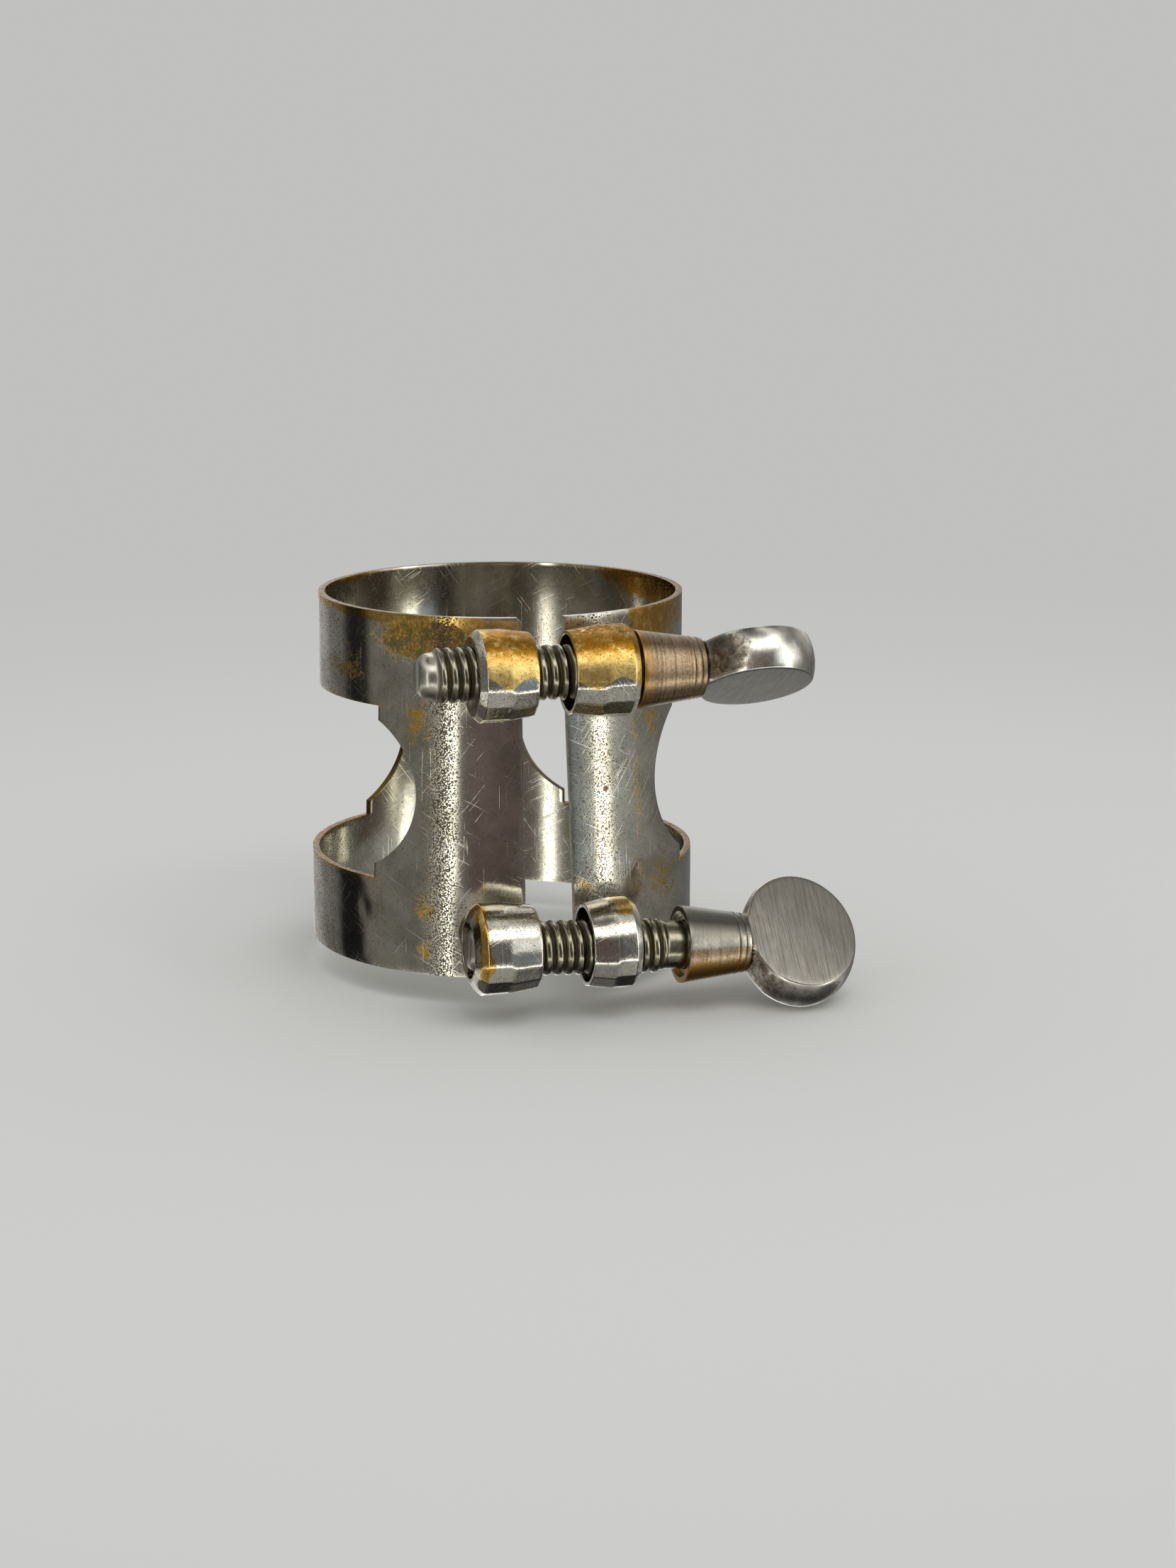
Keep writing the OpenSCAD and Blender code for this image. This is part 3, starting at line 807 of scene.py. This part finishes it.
def filed_flats(length, outer_first):
    """Shape of a post's outside, with a file's shallow flats underneath that differ on its two halves."""
    def shape(along, angle, radius):
        outside = smoothstep(2.86, 3.0, radius)
        half = smoothstep(0.50, 0.54, along / length if outer_first else 1 - along / length)
        out = radius - 0.035 * half * outside * smoothstep(48, 56, np.abs(front_degrees(angle) + 60))
        for below, depth, share in ((21, 0.020, 1 - half), (44, 0.023, 1 - half), (68, 0.018, 1 - half),
                                    (25, 0.018, half), (49, 0.024, half), (74, 0.018, half)):
            turn = np.radians(front_degrees(angle) + below)
            flat = radius * (1 - depth) / np.maximum(np.cos(turn), 0.3)
            out = np.where(np.abs(turn) < 0.35, out - share * outside * np.maximum(0, out - flat), out)
        return out
    return shape


def front_degrees(angle):
    """Degrees above the front (-Y) of a lathe angle, which starts at +Y and climbs towards +Z."""
    return np.degrees(np.angle(np.exp(1j * (math.pi - angle))))


def post_outline(length, radius, bore, threaded, narrow_end):
    """A post's outline as (along, radius, corner radius), with its outer end at 0 where it is threaded."""
    inner_r = radius - POST_INNER_STEP
    waist = [(POST_CHAMFER, radius, 0.22), (length * 0.55, radius, 0.5), (length, inner_r, 0.22),
             (length, bore, 0.08)]
    if threaded and narrow_end:
        start = [(0, NARROW_END_R, 0.06), (0.4, radius - 0.38, 0.3), (0.8, radius, 0.3)]
        return start + waist[1:] + [(0, bore, 0.05)]
    if threaded:
        return [(0, radius - POST_CHAMFER, 0.10)] + waist + [(0.5, bore, 0.1), (0, bore + 0.42, 0.12)]
    inside = length - END_WALL
    return [(length, radius - POST_CHAMFER * 0.6, 0.14), (length - POST_CHAMFER, radius, 0.25),
            (length * 0.45, radius, 0.5), (0, inner_r, 0.14), (0, HOLLOW_R, 0.1), (inside, HOLLOW_R, 0.25),
            (inside, HOLE_R, 0.1), (length, HOLE_R, 0.1)]


def make_post(name, node, screw, threaded, plating, amounts_of, narrow_end=False):
    """A post where its CAD node lies. amounts_of gives its wear by place along, height and reach."""
    low_x, high_x, radius, axis_y, axis_z = post_frame(node)
    length = high_x - low_x
    outline = post_outline(length, radius, THREAD_R + CLEARANCE, threaded, narrow_end)
    rounded = subdivide(fillet(outline, 0.1), 0.22)
    points, faces, radii, around_place = lathe(rounded, POST_FACETS, filed_flats(length, threaded))
    along = points[:, 0].copy()
    height = points[:, 2] / radius
    if threaded:
        # The bore follows the screw's drooping axis.
        inside = smoothstep(2.30, 2.15, radii) if narrow_end else smoothstep(2.6, 2.3, radii)
        points[:, 2] += inside * (screw.height_at(low_x + along) - axis_z)
    placed = points + np.array([low_x, axis_y, axis_z])
    amounts = amounts_of(along / length, height, radii / radius)
    piece = build(name, placed, faces, [plating], "ligature_body", [node], amounts,
                  {"unrolled": around_place})
    return even_shading(piece)


def wear_amounts(height, brass, patina, speckle, mirror, rust):
    """The worn plating's amounts for a post, which has no ochre spots."""
    same = 0 * height
    return {"brass": brass + same, "patina": patina + same, "spots": same, "speckle": speckle + same,
            "mirror": mirror + same, "rust": rust + same}


def upper_post_wear(along, height, reach):
    """Brass over the upper part of the outside, from just past the outer chamfer."""
    outside = smoothstep(0.8, 0.88, reach)
    border = -0.02 + 0.14 * np.sin(along * 9 + 0.6)
    brass = outside * smoothstep(border - 0.10, border + 0.10, height) * smoothstep(0.09, 0.13, along)
    mirror = 0.55 + 0.45 * smoothstep(0.1, -0.2, height)
    return wear_amounts(height, brass, 0.25 * (1 - outside), 0.35, mirror, smoothstep(0.28, 0.62, height))


def upper_right_post_wear(along, height, reach):
    """The same on the right post, where the brass reaches the inner end too."""
    amounts = upper_post_wear(along, height, reach)
    outside = smoothstep(0.8, 0.88, reach)
    border = -0.10 + 0.13 * np.sin(along * 8 + 2.4)
    amounts["patina"] = amounts["patina"] + 0.55 * smoothstep(0.60, 0.90, height) * outside
    amounts["brass"] = outside * smoothstep(border - 0.10, border + 0.10, height)
    return amounts


def lower_left_post_wear(along, height, reach):
    """A brass ring behind the narrow end, with a run of it down the front."""
    outside = smoothstep(0.72, 0.8, reach)
    ring = bump_at(along, 0.115, 0.085) * smoothstep(-0.95, -0.2, height)
    run = bump_at(along, 0.18, 0.11) * bump_at(height, -0.14, 0.26)
    on_top = bump_at(height, 0.97, 0.10) * bump_at(along, 0.35, 0.25)
    brass = outside * np.maximum(ring, 0.95 * run) + 0.42 * on_top
    return wear_amounts(height, brass, 0.42 * (1 - outside), 0.30, 0.85, 0.6)


def lower_right_post_wear(along, height, reach):
    """A brass patch on the top towards the outer end."""
    outside = smoothstep(0.72, 0.8, reach)
    brass = outside * 0.78 * bump_at(height, 0.92, 0.2) * bump_at(along, 0.72, 0.30)
    return wear_amounts(height, brass, 0.3 * (1 - outside), 0.25, 0.85, 0)


SOLDER_SLICES, SOLDER_STEPS = 18, 10
SOLDER_OVERRUN = 0.25
SOLDER_REACH, SOLDER_CLIMB = 2.35, 0.62
SOLDER_SINK = 0.12


def make_solder(name, node, post_node, metal):
    """A hollow-faced fillet above and below the line where a post meets its panel, in slices along X."""
    lo, hi = box_mm(node)
    _, _, post_r, axis_y, axis_z = post_frame(post_node)
    sheet_r = float(band_radius(axis_z))
    points = []
    for i in range(SOLDER_SLICES + 1):
        share = i / SOLDER_SLICES
        x = lo[0] - SOLDER_OVERRUN + (hi[0] - lo[0] + 2 * SOLDER_OVERRUN) * share
        panel_y = -math.sqrt(sheet_r ** 2 - x * x)
        swell = 1 + 0.14 * noise.noise(Vector((x * 0.9, axis_z, 3)))
        end = math.sqrt(max(0.02, 1 - abs(2 * share - 1) ** 3))
        reach = SOLDER_REACH * swell * end
        climb = SOLDER_CLIMB * end
        post_y = axis_y + math.sqrt(post_r ** 2 - (reach - climb) ** 2)
        for sign in (1, -1):
            # From the panel, in a hollow curve, to the post's side.
            start = np.array([panel_y + SOLDER_SINK, sign * reach])
            middle = np.array([panel_y - 0.05, sign * (reach - climb * 0.95)])
            stop = np.array([post_y - 0.1, sign * (reach - climb)])
            curve = [bend(start, middle, stop, k / SOLDER_STEPS) for k in range(SOLDER_STEPS + 1)]
            points += [(x, y, axis_z + z) for y, z in curve[::sign]]
    faces = ring_faces(SOLDER_SLICES + 1, 2 * (SOLDER_STEPS + 1))
    return even_shading(build(name, points, faces, [metal], "ligature_body", [node]))


# -------------------- screws

SHANK_LENGTH = 16.15
SHANK_R = 1.79
NOSE = 1.1
THREAD_R = 2.03
PITCH = 0.82
THREAD_DEPTH = 0.34
PLAIN = 1.45
SOCKET = 2.0
SPIGOT_R = 1.2
COLLAR_LENGTH = 5.0
COLLAR_R, COLLAR_SMALL_R = 2.95, 2.2
GROOVE_DEPTH, GROOVE_HALF = 0.07, 0.06
CLEARANCE = 0.05
SHANK_SIDES, COLLAR_SIDES, DISC_SIDES = 96, 144, 144
STEPS_PER_TURN = 16


def make_shank(screw, metal):
    """The shank with its real helical thread, as a height field round the axis."""
    length = SHANK_LENGTH + COLLAR_LENGTH + CLEARANCE + SOCKET
    threaded = SHANK_LENGTH - PLAIN
    along = np.concatenate([
        [0, 0.03, 0.08, 0.15, 0.25, 0.37, 0.5, 0.65, 0.8, 0.95],
        np.arange(1.0, threaded + 0.5, PITCH / STEPS_PER_TURN),
        np.linspace(threaded + 0.6, length - SOCKET, 8),
        [length - SOCKET + 0.01, length],
    ])
    x, a = np.meshgrid(along, ring_angles(SHANK_SIDES), indexing="ij")
    turn = (x / PITCH - a / (2 * math.pi)) % 1
    from_crest = np.abs(turn - 0.5) * 2
    ridge = 1 - from_crest ** 2.3
    share = smoothstep(0.9, 1.5, x) * smoothstep(threaded + 0.25, threaded - 0.45, x)
    nose = 1.15 + 0.55 * (1 - (1 - np.clip(x / NOSE, 0, 1)) ** 2.8)
    blank = np.where(x < threaded / 2, nose, SHANK_R)
    radius = blank * (1 - share) + (THREAD_R - THREAD_DEPTH + THREAD_DEPTH * ridge) * share
    radius = np.where(x > length - SOCKET + 0.005, SPIGOT_R, radius)
    # How far into a groove each point lies, which sets the dirt and painted shade there.
    groove = share * (1 - ridge) + 0.15 * (1 - share)
    points = np.stack([x - SHANK_LENGTH, radius * np.cos(a), radius * np.sin(a)], 2).reshape(-1, 3)
    faces = ring_faces(len(along), SHANK_SIDES)
    around_place = np.stack([x, a * SHANK_R, 0 * x], 2).reshape(-1, 3)
    amounts = {"groove": groove.ravel(), "tip": smoothstep(1.5, 1.1, x).ravel()}
    return build(f"shank_{screw.level}", screw.place(points), faces, [metal], f"{screw.level}_screw",
                 [f"{screw.level}_screw_shank"], amounts, {"around": around_place})


def make_collar(screw, metal, stain_of):
    """The tapered collar, with two fine turned grooves near its small end."""
    length, bore = COLLAR_LENGTH, SHANK_R + CLEARANCE
    grooves = []
    for at in (length - 0.95, length - 0.40):
        surface = COLLAR_R + (COLLAR_SMALL_R - COLLAR_R) * at / length
        floor = surface - GROOVE_DEPTH
        grooves += [(at - GROOVE_HALF, surface, 0.02), (at, floor, 0.02), (at + GROOVE_HALF, surface, 0.02)]
    small_end = [(length, COLLAR_SMALL_R, 0.05), (length, bore, 0.03)]
    recess = [(0.32, bore, 0.05), (0.28, bore + 0.3, 0.08), (0, bore + 0.62, 0.08)]
    outline = [(0, COLLAR_R - 0.02, 0.10)] + grooves + small_end + recess
    rounded = subdivide(fillet(outline, 0.1), 0.3)
    points, faces, _, around_place = lathe(rounded, COLLAR_SIDES)
    stain, gold, shaded_top = stain_of(points[:, 0] / length, points[:, 2] / COLLAR_R)
    amounts = {"stain": stain, "gold": gold, "shaded_top": shaded_top}
    piece = build(f"collar_{screw.level}", screw.place(points), faces, [metal], f"{screw.level}_collar",
                  [f"{screw.level}_screw_collar"], amounts, {"around": around_place})
    return even_shading(piece)


def upper_collar_wear(along, height):
    """How brown, how golden, and how strongly painted shade darkens the collar towards its top: brown nearly
    all over.
    """
    return (0.62 - 0.35 * smoothstep(-0.3, -0.8, height), 0.35 * smoothstep(0.3, 0.05, along),
            smoothstep(0.3, 0.6, height))


def lower_collar_wear(along, height):
    """The same for the lower collar, which is brown underneath, with painted shade on the nickel above."""
    return (0.80 * smoothstep(0.25, -0.1, height), 0.46 * smoothstep(0.1, -0.5, height),
            smoothstep(0.2, 0.5, height))


DISC_R = 4.47
DISC_OVAL = 1.15
DISC_ROUND = 4.2
DISC_HALF = 1.62
DISC_REACH = 4.10
DISC_EDGE = 0.10
NECK_R = 2.15
FACE_CROWN = 0.03
FACE_RINGS = (0.06, 0.22, 0.42, 0.62, 0.8, 0.93)


def disc_outline(angle, height, inset):
    """The disc's radius, and how far it is widened, at each angle of one slice through its thickness."""
    rim = DISC_R - DISC_ROUND + math.sqrt(DISC_ROUND ** 2 - height ** 2) - inset
    half = math.sqrt(max(0.05, NECK_R ** 2 - height ** 2)) - inset * 0.5
    # Points on the outline: the rim's circle, the neck's flat end, and the hollow between them.
    away = np.abs(np.angle(np.exp(1j * (angle - math.pi))))
    corner = math.atan2(half, DISC_REACH)
    past = np.maximum(away - corner, 0)
    flat = DISC_REACH / np.maximum(np.cos(away), 0.05)
    neck = DISC_REACH / math.cos(corner) * np.exp(-9 * past)
    hollow = np.log(np.exp(14 * (neck - rim)) + 1) / 14
    radius = np.where(away <= corner, flat, rim + hollow * np.exp(-6 * past))
    # Wider across the screw than along it, but not at the neck.
    widen = 1 + (DISC_OVAL - 1) * smoothstep(corner * 0.9, corner + 0.5, away)
    return radius, widen


def disc_layers(angle):
    """(height, radius, widening, share of the radius) for each ring of points, from face to face."""
    side = DISC_HALF - DISC_EDGE
    # The faces' worn edges are a quarter round.
    turns = np.linspace(0, math.pi / 2, 5)
    edge = [(side + DISC_EDGE * math.sin(t), DISC_EDGE * (1 - math.cos(t))) for t in turns]
    slices = [(-h, inset) for h, inset in edge[::-1]]
    slices += [(h, 0.0) for h in np.linspace(-side, side, 15)[1:-1]] + edge
    rings = [(h, *disc_outline(angle, h, inset)) for h, inset in slices]
    layers = [(*rings[0], share) for share in FACE_RINGS]
    layers += [(*ring, 1.0) for ring in rings]
    return layers + [(*rings[-1], share) for share in FACE_RINGS[::-1]]


def make_thumb_disc(screw, metal, turn, tarnish, painted_light):
    """A slightly oval disc with flat faces, and a rounded rim that runs into its neck in a hollow curve."""
    centre_x = COLLAR_LENGTH + CLEARANCE + DISC_REACH
    angle = ring_angles(DISC_SIDES)
    cos, sin = math.cos(math.radians(turn)), math.sin(math.radians(turn))
    points, flat, around, face, stain, painted_light_levels = [], [], [], [], [], []
    layers = disc_layers(angle)
    for h, radius, widen, share in layers:
        u, v = share * radius * np.cos(angle), share * radius * np.sin(angle) * widen
        # Hand filing leaves the faces very slightly crowned.
        lift = h + math.copysign(FACE_CROWN * (1 - share ** 2), h) if share < 1 else h
        points.append(np.stack([centre_x + u, v * cos - lift * sin, v * sin + lift * cos], 1))
        flat.append(np.stack([u, v, 0 * u], 1))
        around.append(np.stack([np.arctan2(v, u) * DISC_R, 0 * u + h, 0 * u], 1))
        on_face = share < 1 or abs(h) > DISC_HALF - DISC_EDGE * 0.35
        on_edge = abs(h) > DISC_HALF - DISC_EDGE * 1.2
        at_neck = smoothstep(0.6, -2.6, u)
        face.append(np.full(DISC_SIDES, float(on_face)))
        # Painted light: one side of the face is painted lighter and the other darker, as strongly as the
        # disc's painted light setting asks.
        painted_light_levels.append(0.50 + painted_light * (smoothstep(3.0, -5.0, u - 0.8 * v) - 0.38))
        stain.append(0.25 * at_neck if on_face or on_edge else np.maximum(0.60 * at_neck, tarnish))
    placed, faces = screw.place(np.concatenate(points)), ring_faces(len(layers), DISC_SIDES)
    amounts = {"face": np.concatenate(face), "stain": np.concatenate(stain), "painted_light": np.concatenate(painted_light_levels)}
    vectors = {"flat": np.concatenate(flat), "around": np.concatenate(around)}
    piece = build(f"disc_{screw.level}", placed, faces, [metal], f"{screw.level}_screw",
                  [f"{screw.level}_thumb_disc"], amounts, vectors)
    return even_shading(piece)


# -------------------- everything together

# How far each disc is turned at rest, how brown its rim is, and how strong the painted light across its face
# is.
UPPER_DISC = {"turn": -27.0, "tarnish": 0.0, "painted_light": 0.0}
LOWER_DISC = {"turn": 223.5, "tarnish": 0.48, "painted_light": 0.5}


def make_ligature():
    upper, lower = Screw("upper"), Screw("lower")
    make_band(worn_plating("worn_nickel"), cut_edge("sheared_brass"))
    brassy = worn_plating("worn_to_brass", 0.6, ORANGE_BROWN, 0.55, 0.16)
    make_post("post_upper_left", "upper_threaded_post", upper, True, brassy, upper_post_wear)
    make_post("post_upper_right", "upper_clearance_post", upper, False, brassy, upper_right_post_wear)
    silvery = worn_plating("worn_plate", hammered=0.35)
    make_post("post_lower_left", "lower_threaded_post", lower, True, silvery, lower_left_post_wear, True)
    make_post("post_lower_right", "lower_clearance_post", lower, False, silvery, lower_right_post_wear)
    solder = solder_metal("tarnished_solder")
    for level in ("upper", "lower"):
        for kind in ("threaded", "clearance"):
            post = f"{level}_{kind}_post"
            make_solder(f"solder_{level}_{kind}", f"{post}_solder", post, solder)
    thread, filed = thread_metal("thread_nickel"), filed_metal("filed_nickel")
    copper, mixed = turned_metal("turned_copper", 0.45), turned_metal("turned_mixed", 0.2)
    for screw in (upper, lower):
        make_shank(screw, thread)
    make_collar(upper, copper, upper_collar_wear)
    make_collar(lower, mixed, lower_collar_wear)
    make_thumb_disc(upper, filed, **UPPER_DISC)
    make_thumb_disc(lower, filed, **LOWER_DISC)


bpy.context.scene.view_settings.view_transform = "Standard"
make_camera()
make_world()
make_lights()
make_floor()
make_ligature()
